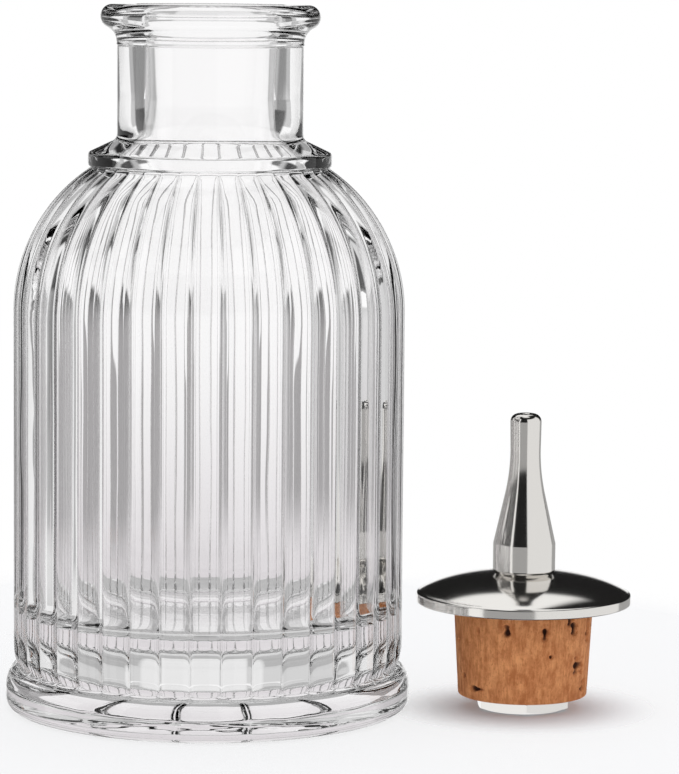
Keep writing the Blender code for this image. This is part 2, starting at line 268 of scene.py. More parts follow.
class Studio(bpy.types.PropertyGroup):
    """Camera, table and light."""

    lens: limited("Lens", "Focal length for a 36 mm sensor", 173.9, 20.0, 1000.0)
    camera_place: bpy.props.FloatVectorProperty(
        name="Camera place", description="Where the camera stands", default=(0.0195, -0.5553, 0.1123),
        size=3, subtype="TRANSLATION", unit="LENGTH",
    )
    pitch: degrees("Pitch", "How far the camera looks down", 6.58)
    roll: degrees("Roll", "How far the camera leans", 0.49)
    table: tint("Table", "Colour of the table", (0.89, 0.905, 0.97))
    table_clear: share("Table fade", "How much of the white background lightens the table's shade", 0.78)
    card_high: tint("Card, high", "Middle of the card behind the bottle, high up", (1.0, 1.0, 1.0))
    card_low: tint("Card, low", "Its middle near the table", (0.72, 0.69, 0.71))
    # The card's grey sides and their dark upper edge are painted shade, seen only through the glass
    card_painted_shade: tint("Card, grey", "Its grey sides", (0.34, 0.33, 0.335))
    card_edge: tint("Card, edge", "Upper edge of its sides", (0.08, 0.08, 0.08))
    room_light: share("Room light", "Level of the even light from all round", 0.72)


class Wire:
    """A number on its way through a shader. Sums and products on it add Math nodes."""

    def __init__(self, board, socket):
        self.board = board
        self.socket = socket

    def combine(self, operation, first, second):
        """Math node with one operation on two numbers."""
        return self.board.node("ShaderNodeMath", {"operation": operation}, {0: first, 1: second})

    def __add__(self, other):
        return self.combine("ADD", self, other)

    __radd__ = __add__

    def __sub__(self, other):
        return self.combine("SUBTRACT", self, other)

    def __rsub__(self, other):
        return self.combine("SUBTRACT", other, self)

    def __mul__(self, other):
        return self.combine("MULTIPLY", self, other)

    __rmul__ = __mul__

    def at_least(self, other):
        """The larger of this and another number."""
        return self.combine("MAXIMUM", self, other)


class Board:
    """A node tree, with one way to add any node."""

    def __init__(self, tree):
        self.tree = tree
        tree.nodes.clear()

    def node(self, kind, settings=None, sockets=None, output=0):
        """Add a node: its settings first, then its sockets' values or links. Gives one output as a Wire."""
        made = self.tree.nodes.new(kind)
        for name, value in (settings or {}).items():
            setattr(made, name, value)
        for name, value in (sockets or {}).items():
            if isinstance(value, Wire):
                self.tree.links.new(value.socket, made.inputs[name])
            else:
                made.inputs[name].default_value = value
        return Wire(self, made.outputs[output]) if made.outputs else made

    def ray_kinds(self, *names):
        """Numbers that are one for rays of a kind."""
        path = self.node("ShaderNodeLightPath").socket.node
        return [Wire(self, path.outputs[name]) for name in names]

    def place(self, centre=(0.0, 0.0, 0.0), scale=(1.0, 1.0, 1.0)):
        """Object coordinates from a centre, stretched by scale."""
        coordinates = self.node("ShaderNodeTexCoord", output="Object")
        moved = self.node("ShaderNodeVectorMath", {"operation": "SUBTRACT"}, {0: coordinates, 1: centre})
        return self.node("ShaderNodeVectorMath", {"operation": "MULTIPLY"}, {0: moved, 1: scale})

    def distance(self, centre):
        """How far a place is from a centre, in metres."""
        sockets = {0: self.place(centre)}
        return self.node("ShaderNodeVectorMath", {"operation": "LENGTH"}, sockets, output="Value")

    def noise(self, vector, scale, detail=2.0, roughness=0.55):
        """Noise of a size: scale is in turns per metre of the vector."""
        return self.node(
            "ShaderNodeTexNoise",
            None,
            {"Vector": vector, "Scale": scale, "Detail": detail, "Roughness": roughness},
        )

    def rise(self, value, start, end, low=0.0, high=1.0):
        """Smooth step from low to high as value goes from start to end."""
        return self.node(
            "ShaderNodeMapRange",
            {"interpolation_type": "SMOOTHSTEP"},
            {"Value": value, "From Min": start, "From Max": end, "To Min": low, "To Max": high},
        )

    def principled(self, sockets):
        """Principled shader with these values or links at its sockets."""
        return self.node("ShaderNodeBsdfPrincipled", None, sockets)

    def surface(self, shader):
        """End a material at its output."""
        self.node("ShaderNodeOutputMaterial", None, {"Surface": shader})

    def blend(self, factor, first, second):
        """Shader between two shaders."""
        return self.node("ShaderNodeMixShader", None, {0: factor, 1: first, 2: second})

    def mix(self, factor, first, second):
        """Colour between two colours."""
        sockets = {0: factor, 6: first, 7: second}
        return self.node("ShaderNodeMix", {"data_type": "RGBA"}, sockets, output=2)

    def bump(self, height, distance, strength=1.0):
        """Small relief from a height, in metres."""
        return self.node(
            "ShaderNodeBump", None, {"Strength": strength, "Distance": distance, "Height": height}
        )


def full(colour):
    """A colour with its alpha."""
    return (*colour, 1.0)


def make_material(name, colour):
    """An empty material with its board, and a plain colour for the solid view."""
    material = bpy.data.materials.new(name)
    material.use_nodes = True
    material.diffuse_color = full(colour)
    return material, Board(material.node_tree)


def glass_material(finishes):
    """Clear pressed glass with the faint ripple that fire polishing leaves."""
    material, board = make_material("clear_glass", finishes.glass)
    ripple = board.noise(board.place(scale=(1.0, 1.0, 0.35)), 90.0)
    sockets = {
        "Base Color": full(finishes.glass),
        "Roughness": 0.0,
        "IOR": finishes.glass_index,
        "Transmission Weight": 1.0,
        "Normal": board.bump(ripple, 0.00006),
    }
    board.surface(board.principled(sockets))
    return material


def nickel_material(finishes):
    """Mirror-polished metal: fine turning marks, and a few faint rubs in its roughness."""
    material, board = make_material("polished_nickel", finishes.nickel)
    centre = (STOPPER_X, 0.0, 0.0)
    rubs = board.noise(board.place(centre), 260.0, detail=6.0, roughness=0.7)
    turning = board.noise(board.place(centre, (0.04, 0.04, 1.0)), 9000.0)
    gloss = finishes.nickel_gloss
    sockets = {
        "Base Color": full(finishes.nickel),
        "Metallic": 1.0,
        "Roughness": board.rise(rubs, 0.45, 0.8, gloss, gloss + finishes.rub_roughness),
        "Normal": board.bump(turning, 0.0000015),
    }
    board.surface(board.principled(sockets))
    return material


def shared_nickel(context):
    """The polished metal that the stopper's pieces share, made when it is first asked for."""
    return bpy.data.materials.get("polished_nickel") or nickel_material(context.scene.bitters_finishes)


def steel_material(finishes):
    """Plain turned steel, with ring marks round its axis."""
    material, board = make_material("plain_steel", finishes.steel)
    rings = board.noise(board.place((STOPPER_X, 0.0, 0.0), (0.05, 0.05, 1.0)), 5000.0)
    sockets = {
        "Base Color": full(finishes.steel),
        "Metallic": 1.0,
        "Roughness": board.rise(rings, 0.2, 0.8, 0.22, 0.4),
        "Normal": board.bump(rings, 0.00001),
    }
    board.surface(board.principled(sockets))
    return material


def cork_material(finishes):
    """Natural cork: leaning grain, fine mottling and specks, and dark pits where the mesh is dented."""
    material, board = make_material("natural_cork", finishes.cork_light)
    centre = (STOPPER_X, 0.0, 0.0)
    leaning = board.node(
        "ShaderNodeMapping",
        None,
        {"Vector": board.place(centre), "Rotation": (0.0, -0.35, 0.0), "Scale": (1.0, 1.0, 0.2)},
    )
    grain = board.noise(leaning, 1300.0, detail=6.0, roughness=0.7)
    mottle = board.noise(board.place(centre), 420.0, detail=6.0, roughness=0.7)
    specks = board.noise(board.place(centre, (1.0, 1.0, 0.5)), 3200.0)
    pits = board.node("ShaderNodeAttribute", {"attribute_name": "pit"}, output="Fac")
    contrast, middle = 3.2, 0.36
    tone = (0.55 * grain + 0.45 * mottle - middle) * contrast
    dark = full(finishes.cork_dark)
    colour = board.mix(board.rise(tone, 0.0, 1.0), dark, full(finishes.cork_light))
    colour = board.mix(board.rise(specks, 0.55, 0.7) * 0.6, colour, dark)
    colour = board.mix(board.rise(pits, 0.15, 0.75), colour, full(finishes.cork_pit))
    sockets = {
        "Base Color": colour,
        "Roughness": board.rise(grain, 0.3, 0.7, 0.9, 0.7),
        "Specular IOR Level": 0.25,
        "Normal": board.bump(0.6 * grain + 0.4 * specks, 0.00018, 0.8),
    }
    board.surface(board.principled(sockets))
    return material


def table_material(studio):
    """Pale table that keeps the shadow and fades into the white background away from the object."""
    material, board = make_material("pale_table", studio.table)
    sockets = {"Base Color": full(studio.table), "Roughness": 0.6, "Specular IOR Level": 0.2}
    shade = board.principled(sockets)
    gone = board.node("ShaderNodeBsdfTransparent")
    distance, contact = board.distance((0.0, 0.0, 0.0)), board.distance((STOPPER_X, 0.0, 0.0))
    mirror, through = board.ray_kinds("Is Glossy Ray", "Is Transmission Ray")
    clear = board.rise(contact, *CONTACT_FADE, CONTACT_SHARE, studio.table_clear)
    fade = board.rise(distance, *TABLE_FADE).at_least(clear).at_least(mirror).at_least(through)
    board.surface(board.blend(fade, shade, gone))
    return material


def card_material(studio):
    """Backdrop close behind the bottle, which only rays through the glass see.

    Its middle is white, and darker near the table. Grey sides stand left and right of it: painted shade
    that the glass shows in place of the bottle's shadow behind it. They draw apart higher up, end in a dark
    edge and fade near the table, and the right one also further out.
    """
    material, board = make_material("back_card", studio.card_high)
    place = board.place()
    x, high = (board.node("ShaderNodeSeparateXYZ", None, {0: place}, output=axis) for axis in (0, 2))
    low_tone, high_tone, painted_shade_tone, dark_tone = (
        board.node("ShaderNodeEmission", None, {"Color": full(tone), "Strength": 1.0})
        for tone in (studio.card_low, studio.card_high, studio.card_painted_shade, studio.card_edge)
    )
    widening = CARD_WIDENING * board.rise(high, *CARD_TAPER)
    below_top = board.rise(high, *CARD_TOP, 1.0, 0.0)
    left = board.rise(x + widening, *CARD_LEFT, 1.0, 0.0)
    left = left * below_top * board.rise(high, *CARD_LEFT_FOOT, LEFT_FOOT_SHARE)
    right = board.rise(x - widening, *CARD_RIGHT) * board.rise(x, *CARD_FAR_RIGHT, 1.0, FAR_RIGHT_SHARE)
    right = right * below_top * board.rise(high, *CARD_RIGHT_FOOT)
    middle = board.blend(board.rise(high, *CARD_WHITE), low_tone, high_tone)
    # The sides are painted shade: grey, turning to the dark edge higher up
    side = board.blend(board.rise(high, *CARD_DARK), painted_shade_tone, dark_tone)
    gone = board.node("ShaderNodeBsdfTransparent")
    (through,) = board.ray_kinds("Is Transmission Ray")
    board.surface(board.blend(through, gone, board.blend(left + right, middle, side)))
    return material


def arc(centre, radii, start, end, steps):
    """Points (radius, height) on an ellipse: centre plus radii times the cosine and sine of the angle."""
    angles = np.radians(np.linspace(start, end, steps + 1))
    return np.stack((centre[0] + radii[0] * np.cos(angles), centre[1] + radii[1] * np.sin(angles)), axis=1)


def bend(start, corner, end, steps):
    """Parabola from start to end that leaves and arrives along the lines to corner."""
    t = np.linspace(0.0, 1.0, steps + 1)[:, None]
    return (1 - t) ** 2 * np.array(start) + 2 * t * (1 - t) * np.array(corner) + t ** 2 * np.array(end)


def straight(start, end, steps, hold=0.03):
    """Even points on a straight run, with one more close to each end to keep the shading flat."""
    t = np.unique(np.concatenate((np.linspace(0.0, 1.0, steps + 1), [hold, 1 - hold])))[:, None]
    return (1 - t) * np.array(start) + t * np.array(end)


def chain(*runs):
    """Runs of points end to end, with the points that fall together left out."""
    points = np.concatenate(runs)
    steps = np.linalg.norm(np.diff(points, axis=0), axis=1)
    return points[np.concatenate(([True], steps > 1e-6))]


def sweep(crest, valley, angles, dip):
    """Grid of points turned about Z: on the crest's outline where dip is 0, the valley's where it is 1."""
    outline = crest[:, None, :] + (valley - crest)[:, None, :] * dip[None, :, None]
    radius, height = outline[:, :, 0], outline[:, :, 1]
    return np.stack((radius * np.cos(angles), radius * np.sin(angles), height), axis=2)


def turned_grid(outline, steps):
    """Grid of points of one outline turned evenly about Z."""
    angles = np.linspace(0.0, math.tau, steps, endpoint=False)
    return sweep(outline, outline, angles, np.zeros(steps))


def shell(name, grid, poles):
    """Closed mesh over a grid of rings. Rings end in poles on the axis, or the last joins the first."""
    rows, columns, _ = grid.shape
    number = np.arange(rows * columns).reshape(rows, columns)
    if not poles:
        number = np.vstack((number, number[:1]))
    onward = np.roll(number, -1, axis=1)
    quads = np.stack((number[:-1], onward[:-1], onward[1:], number[1:]), axis=2)
    faces = quads.reshape(-1, 4).tolist()
    points = grid.reshape(-1, 3)
    if poles:
        first, last = (np.full(columns, len(points) + end) for end in (0, 1))
        points = np.concatenate((points, [grid[0].mean(axis=0), grid[-1].mean(axis=0)]))
        for fan in ((first, onward[0], number[0]), (number[-1], onward[-1], last)):
            faces += np.stack(fan, axis=1).tolist()
    mesh = bpy.data.meshes.new(name)
    mesh.from_pydata(points.tolist(), [], faces)
    mesh.shade_smooth()
    return mesh


def stopper_mesh(name, grid, sharp):
    """Closed mesh of a grid, moved to the stopper's axis. Edges that turn by more degrees stay sharp."""
    grid[:, :, 0] += STOPPER_X
    mesh = shell(name, grid, False)
    mesh.set_sharp_from_angle(angle=math.radians(sharp))
    return mesh


def show(name, mesh, material, body, node):
    """Put a piece in the scene on its body, in place of its CAD node."""
    mesh.materials.append(material)
    piece = bpy.data.objects.new(name, mesh)
    bpy.context.collection.objects.link(piece)
    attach(piece, body)
    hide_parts(node)


def shoulder_angle(glass, radius, reach):
    """Angle, in degrees, at which a shoulder arc has drawn in to reach."""
    return math.degrees(math.acos((reach - (glass.body - glass.shoulder)) / radius))


def foot_outline(glass):
    """Recess, rest ring, rounded edge, upright band and rounded top of the foot."""
    ring_outer = glass.foot - glass.foot_edge
    ring_inner = ring_outer - glass.ring_width
    top_width = glass.foot - glass.body + glass.toe_inset
    top_height = glass.foot_top - glass.band_top
    recess_edge = ring_inner - glass.recess
    edge = (ring_outer, glass.foot_edge)
    return chain(
        straight((recess_edge * HUB_SHARE, glass.recess), (recess_edge, glass.recess), 3),
        straight((recess_edge, glass.recess), (ring_inner, 0.0), 2, 0.15),
        straight((ring_inner, 0.0), (ring_outer, 0.0), 3),
        arc(edge, (glass.foot_edge, glass.foot_edge), -90, 0, 7),
        straight((glass.foot, glass.foot_edge), (glass.foot, glass.band_top), 2),
        arc((glass.foot - top_width, glass.band_top), (top_width, top_height), 0, 66, 7),
    )


def reed_outlines(glass):
    """Crests and valleys of the reeds: toes, straight runs, and the shoulder over which they fade."""
    low = glass.body - glass.reed_depth
    full_height = glass.foot_top + glass.reed_toe
    toe = bend(
        (glass.body - glass.toe_inset, glass.foot_top),
        (glass.body - glass.toe_inset / 6, glass.foot_top + glass.reed_toe / 4),
        (glass.body, full_height),
        7,
    )
    toe_valley = bend(
        (low - glass.toe_inset / 2, glass.foot_top + glass.toe_rise),
        (low, glass.foot_top + glass.toe_rise * 1.6),
        (low, full_height),
        7,
    )
    run = straight((glass.body, full_height), (glass.body, glass.shoulder_start), 4)
    run_valley = straight((low, full_height), (low, glass.shoulder_start), 4)
    centre = glass.body - glass.shoulder
    end = shoulder_angle(glass, glass.shoulder, glass.collar)
    crest = arc((centre, glass.shoulder_start), (glass.shoulder, glass.shoulder), 0, end, 26)
    share_left = (crest[:, 0] - glass.collar) / (glass.body - glass.collar)
    depth = glass.reed_depth * (glass.reed_fade + (1.0 - glass.reed_fade) * share_left)
    lean = (crest - (centre, glass.shoulder_start)) / glass.shoulder
    valley = crest - lean * depth[:, None]
    crests = np.concatenate((toe, run[1:], crest[1:]))
    valleys = np.concatenate((toe_valley, run_valley[1:], valley[1:]))
    return crests, valleys


def collar_outline(glass):
    """Tuck under the collar, its band, its sloping top, and the cove into the neck."""
    sweep_angle = math.radians(shoulder_angle(glass, glass.shoulder, glass.collar))
    base = glass.shoulder_start + glass.shoulder * math.sin(sweep_angle) + glass.collar_tuck
    top = base + glass.collar_band
    slope_top = top + glass.collar_bevel
    edge = glass.collar_edge
    tuck = glass.collar_tuck
    shoulder_edge = arc((glass.collar - edge, top - edge), (edge, edge), 0, 60, 6)
    cove = bend(
        (glass.neck + glass.cove / 2, slope_top),
        (glass.neck, slope_top + glass.collar_bevel / 4),
        (glass.neck, slope_top + glass.cove),
        8,
    )
    return chain(
        bend((glass.collar - tuck, base), (glass.collar, base), (glass.collar, base + tuck), 6),
        straight((glass.collar, base + tuck), shoulder_edge[0], 2, 0.1),
        shoulder_edge,
        straight(shoulder_edge[-1], cove[0], 3, 0.1),
        cove,
    )


def lip_outline(glass):
    """Neck, mould line and rolled lip: half round outside, level on top."""
    line = LIP_TOP - glass.lip_depth
    middle = LIP_TOP - glass.lip_roll
    step = glass.mould_line
    roll = arc((glass.lip - glass.lip_roll, middle), (glass.lip_roll, glass.lip_roll), -54, 90, 14)
    land = glass.mouth + glass.mouth_edge
    above_line = (glass.neck + step / 2, line + step)
    hollow = (glass.neck + step, middle - glass.lip_roll * 1.2)
    return chain(
        straight((glass.neck, line - step * 8), (glass.neck, line - step), 1, 0.2),
        bend((glass.neck, line - step), (glass.neck + step * 1.6, line), above_line, 4),
        bend(above_line, hollow, roll[0], 7),
        roll,
        straight((glass.lip - glass.lip_roll, LIP_TOP), (land, LIP_TOP), 3, 0.08),
    )


def inside_outline(glass):
    """Mouth, bore, inner shoulder, inner wall and floor, from the mouth down."""
    radius = glass.shoulder - glass.wall
    centre = glass.body - glass.shoulder
    leave = shoulder_angle(glass, radius, glass.bore + glass.bore_fillet)
    turn = math.radians(leave)
    entry = (centre + radius * math.cos(turn), glass.shoulder_start + radius * math.sin(turn))
    corner = (glass.bore, entry[1] + glass.bore_fillet / math.tan(turn))
    land = glass.mouth + glass.mouth_edge
    wall = glass.body - glass.wall
    floor_arc = arc(
        (wall - glass.floor_corner, glass.floor + glass.floor_corner),
        (glass.floor_corner, glass.floor_corner), 0, -90, 11,
    )
    mouth_bottom = (glass.mouth, LIP_TOP - glass.mouth_edge)
    bore_bottom = (glass.bore, corner[1] + glass.bore_fillet)
    return chain(
        bend((land, LIP_TOP), (glass.mouth, LIP_TOP), mouth_bottom, 7),
        straight(mouth_bottom, bore_bottom, 4),
        bend(bore_bottom, corner, entry, 8),
        arc((centre, glass.shoulder_start), (radius, radius), leave, 0, 18),
        straight((wall, glass.shoulder_start), floor_arc[0], 12, 0.01),
        floor_arc,
        straight(floor_arc[-1], (floor_arc[-1][0] * HUB_SHARE, glass.floor), 3),
    )


def reed_angles(glass):
    """Angles round the body, closer together at the valleys, and the dip at each.

    With w from 1 at a reed's edges to 0 in its middle, the dip is a * w^2 + (1 - a) * w^q: a flat
    crown of share a of the depth, between narrow grooves.
    """
    even = np.arange(REED_STEPS) / REED_STEPS
    across = even - REED_CROWDING * np.sin(math.tau * even) / math.tau
    number = np.arange(glass.reeds)[:, None]
    turns = ((number + across[None, :]) / glass.reeds).ravel()
    edge = np.abs(2.0 * across - 1.0)
    dip = np.tile(glass.crown * edge ** 2 + (1.0 - glass.crown) * edge ** glass.groove, glass.reeds)
    return turns * math.tau + glass.reed_turn - math.pi / 2, dip


def rippled(grid, amount):
    """Push a grid in and out by slow waves round and up, as a pressed inside is uneven."""
    x, y, z = grid[:, :, 0], grid[:, :, 1], grid[:, :, 2]
    angle = np.arctan2(y, x)
    radius = np.hypot(x, y)
    wave = sum(size * np.sin(count * angle + lean * z + start) for size, count, lean, start in INSIDE_WAVES)
    wave /= sum(size for size, *_ in INSIDE_WAVES)
    full_radius = 10 * MM
    ease = np.clip(radius / full_radius, 0.0, 1.0) ** 2
    factor = 1.0 + amount * wave * ease / np.maximum(radius, MM)
    return np.stack((x * factor, y * factor, z), axis=2)


class BITTERS_OT_glass(bpy.types.Operator):
    """Build the reeded glass bottle as one closed skin, outside and inside"""

    bl_idname = "bitters.glass"
    bl_label = "Glass bottle"

    def execute(self, context):
        glass = context.scene.bitters_glass
        angles, dip = reed_angles(glass)
        crests, valleys = reed_outlines(glass)
        plain = np.zeros_like(dip)
        foot = foot_outline(glass)
        upper = chain(collar_outline(glass), lip_outline(glass))
        inside = inside_outline(glass)
        grid = np.concatenate((
            sweep(foot, foot, angles, plain),
            sweep(crests, valleys, angles, dip),
            sweep(upper, upper, angles, plain),
            rippled(sweep(inside[1:], inside[1:], angles, plain), glass.ripple),
        ))
        mesh = shell("reeded_glass", grid, True)
        material = glass_material(context.scene.bitters_finishes)
        show("reeded_glass", mesh, material, "bottle", "glass_bottle")
        return {"FINISHED"}


class BITTERS_OT_nozzle(bpy.types.Operator):
    """Turn the nozzle: base, cone, neck and round tip, with its passage"""

    bl_idname = "bitters.nozzle"
    bl_label = "Dash nozzle"

    def execute(self, context):
        sizes = context.scene.bitters_stopper
        foot, tip = NOZZLE_LOW, NOZZLE_TOP
        neck = foot + sizes.neck_start
        base_top = foot + sizes.base_height
        slope = (sizes.base - sizes.neck) / (neck - base_top)
        joint = (sizes.neck + slope * sizes.blend, neck - sizes.blend)
        tip_middle = (sizes.tip - sizes.tip_edge, tip - sizes.tip_edge)
        top_arc = arc(tip_middle, (sizes.tip_edge, sizes.tip_edge), 0, 84, 14)
        seat = DISC_TOP
        socket = foot + sizes.nozzle_edge
        hole_low = (sizes.tip_hole, tip - sizes.tip_hole / 2)
        outline = chain(
            straight((sizes.base - sizes.nozzle_edge, seat), (sizes.base, socket), 1, 0.1),
            straight((sizes.base, socket), (sizes.base, base_top), 2),
            straight((sizes.base, base_top), joint, 6, 0.02),
            bend(joint, (sizes.neck, neck), (sizes.neck, neck + sizes.blend), 20),
            straight((sizes.neck, neck + sizes.blend), top_arc[0], 3),
            top_arc,
            bend(top_arc[-1], (sizes.tip_hole, tip), hole_low, 4),
            straight(hole_low, (sizes.tip_hole, tip - sizes.tip_edge), 1, 0.2),
            straight((sizes.passage, neck), (sizes.passage, socket), 2),
            straight((sizes.hole, socket), (sizes.hole, seat), 1, 0.2),
        )
        mesh = stopper_mesh("turned_nozzle", turned_grid(outline, 128), 40.0)
        nickel = shared_nickel(context)
        show("turned_nozzle", mesh, nickel, "stopper", "dash_nozzle")
        return {"FINISHED"}


class BITTERS_OT_disc(bpy.types.Operator):
    """Turn the domed disc with its rim band"""

    bl_idname = "bitters.disc"
    bl_label = "Cap disc"

    def execute(self, context):
        sizes = context.scene.bitters_stopper
        edge = sizes.disc_edge
        rim_top = DISC_LOW + sizes.disc_band
        seat = sizes.base + edge
        rise = DISC_TOP - rim_top
        reach = sizes.disc - edge
        drop = (reach ** 2 - seat ** 2 - rise ** 2) / (2 * rise)
        sphere = math.hypot(reach, drop)
        start = math.degrees(math.acos(reach / sphere))
        end = math.degrees(math.acos(seat / sphere))
        dome = arc((0.0, rim_top - drop), (sphere, sphere), start, end, 40)
        # The dome bulges most a little nearer its rim than its seat
        nearer_rim = 0.7
        inwards = np.linspace(0.0, 1.0, len(dome)) ** nearer_rim
        dome[:, 1] += sizes.disc_fullness * np.sin(math.pi * inwards)
        outline = chain(
            bend((sizes.disc - edge, DISC_LOW), (sizes.disc, DISC_LOW), (sizes.disc, DISC_LOW + edge), 5),
            straight((sizes.disc, DISC_LOW + edge), (sizes.disc, rim_top - edge), 2),
            bend((sizes.disc, rim_top - edge), (sizes.disc, rim_top), dome[0], 5),
            dome,
            straight((seat, DISC_TOP), (sizes.hole, DISC_TOP), 1, 0.1),
            straight((sizes.hole, DISC_TOP), (sizes.hole, CORK_TOP), 1, 0.1),
            straight((sizes.hole, CORK_TOP), (sizes.cork_head, CORK_TOP), 1, 0.1),
            straight((sizes.cork_head, CORK_TOP), (sizes.cork_head, DISC_LOW), 1, 0.2),
            straight((sizes.cork_head, DISC_LOW), (sizes.disc - edge, DISC_LOW), 3, 0.05),
        )[:-1]
        mesh = stopper_mesh("domed_disc", turned_grid(outline, 256), 40.0)
        nickel = shared_nickel(context)
        show("domed_disc", mesh, nickel, "stopper", "cap_disc")
        return {"FINISHED"}


class BITTERS_OT_nut(bpy.types.Operator):
    """Build the hexagonal nut with its chamfered corners"""

    bl_idname = "bitters.nut"
    bl_label = "Clamp nut"

    def execute(self, context):
        sizes = context.scene.bitters_stopper
        steps = 144
        sixth = math.tau / 6
        even = np.arange(steps) * math.tau / steps
        flat, corner = sizes.nut_flats / 2, sizes.nut_flats / math.sqrt(3.0)
        hexagon = flat / np.cos(even % sixth - sixth / 2)
        top = CORK_LOW
        chamfer = sizes.nut_chamfer
        face = flat - sizes.nut_face
        arch = chamfer * sizes.nut_face / (corner - face)
        # The outlines through a flat's middle and through a corner share their top and their hole
        rest = ((face, top), (sizes.hole, top), (sizes.hole, top / 2), (sizes.hole, 0.0))
        at_flat = np.array(((face, 0.0), (flat, arch), (flat, top - arch), *rest))
        at_corner = np.array(((face, 0.0), (corner, chamfer), (corner, top - chamfer), *rest))
        angles = even + sizes.nut_turn - math.tau / 4
        grid = sweep(at_flat, at_corner, angles, (hexagon - flat) / (corner - flat))
        mesh = stopper_mesh("hexagonal_nut", grid, 12.0)
        nickel = shared_nickel(context)
        show("hexagonal_nut", mesh, nickel, "stopper", "clamp_nut")
        return {"FINISHED"}


def cork_pits(grid, flat_foot):
    """Depth of the cork's pits over a grid, from 0 to 1: each is a ragged oval outside its flat foot.

    A pit is deepest in its middle and ends at its reach, counted in half widths and half heights.
    Two waves make its outline ragged.
    """
    angle = np.arctan2(grid[:, :, 1], grid[:, :, 0])
    height = grid[:, :, 2] / MM
    radius = np.hypot(grid[:, :, 0], grid[:, :, 1])
    margin = 0.1 * MM
    side = radius > flat_foot - margin
    across = radius / MM
    reach = 1.25
    rng = np.random.default_rng(11)
    spread = [tuple(rng.uniform(*limits) for limits in PIT_RANGES) for _ in range(MORE_PITS)]
    total = np.zeros_like(angle)
    for turn, high, wide, tall in (*CORK_PITS, *spread):
        offset = (angle - turn + math.pi / 2 + math.pi) % math.tau - math.pi
        waves = 0.35 * np.sin(3 * offset * across + 11 * turn) + 0.3 * np.sin(5.2 * height + 7 * turn)
        far = np.hypot(offset * across / wide, (height - high) / tall) / (1.0 + waves)
        total = np.maximum(total, np.clip(reach - far, 0.0, 1.0) * side)
    return total


class BITTERS_OT_cork(bpy.types.Operator):
    """Build the tapered cork with its pits"""

    bl_idname = "bitters.cork"
    bl_label = "Cork plug"

    def execute(self, context):
        sizes = context.scene.bitters_stopper
        edge = sizes.cork_edge
        low, top = CORK_LOW, CORK_TOP
        side = straight((sizes.cork_foot, low + edge), (sizes.cork_head, top - edge), 110, 0.005)
        outline = chain(
            bend((sizes.cork_foot - edge, low), (sizes.cork_foot, low), side[0], 4),
            side,
            bend(side[-1], (sizes.cork_head, top), (sizes.cork_head - edge, top), 4),
            straight((sizes.cork_head - edge, top), (sizes.hole, top), 1, 0.1),
            straight((sizes.hole, top), (sizes.hole, low), 1, 0.1),
            straight((sizes.hole, low), (sizes.cork_foot - edge, low), 10, 0.02)[:-1],
        )
        grid = turned_grid(outline, 320)
        depth = cork_pits(grid, sizes.cork_foot - sizes.cork_edge)
        radius = np.hypot(grid[:, :, 0], grid[:, :, 1])
        grid[:, :, :2] *= (1.0 - depth * sizes.pit_depth / radius)[:, :, None]
        mesh = stopper_mesh("tapered_cork", grid, 60.0)
        pit = mesh.attributes.new("pit", "FLOAT", "POINT")
        pit.data.foreach_set("value", depth.ravel().astype(np.float32))
        material = cork_material(context.scene.bitters_finishes)
        show("tapered_cork", mesh, material, "stopper", "cork_plug")
        return {"FINISHED"}


class BITTERS_OT_stem(bpy.types.Operator):
    """Give the stopper's hidden tube its finish"""

    bl_idname = "bitters.stem"
    bl_label = "Threaded stem"

    def execute(self, context):
        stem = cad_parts["threaded_stem"]
        stem.data.materials.clear()
        stem.data.materials.append(steel_material(context.scene.bitters_finishes))
        return {"FINISHED"}


def add_stage(name, points, faces, material):
    """Put a piece of the stage in the scene."""
    mesh = bpy.data.meshes.new(name)
    mesh.from_pydata(points, [], faces)
    mesh.materials.append(material)
    item = bpy.data.objects.new(name, mesh)
    bpy.context.collection.objects.link(item)


def table_disc(studio):
    """Round table under the object, a hair below the plane that it stands on."""
    (rim,) = turned_grid(np.array([TABLE_RIM]), 96)
    add_stage("pale_table", rim.tolist(), [range(len(rim))], table_material(studio))


def back_card(studio):
    """Upright card close behind the bottle, standing on the table."""
    half, behind, top = CARD_SIZE
    corners = [(-half, behind, 0.0), (half, behind, 0.0), (half, behind, top), (-half, behind, top)]
    add_stage("back_card", corners, [(0, 1, 2, 3)], card_material(studio))


def soft_lamp(name, place, size, level):
    """Square soft lamp whose face has a brightness, turned to the object. Mirrors don't show it."""
    data = bpy.data.lights.new(name, "AREA")
    data.shape = "SQUARE"
    data.size = size
    data.energy = level * math.pi * size ** 2
    lamp = bpy.data.objects.new(name, data)
    lamp.location = place
    lamp.rotation_euler = (Vector(LAMP_AIM) - Vector(place)).to_track_quat("-Z", "Y").to_euler()
    for kind in ("camera", "glossy", "transmission"):
        setattr(lamp, f"visible_{kind}", False)
    bpy.context.collection.objects.link(lamp)


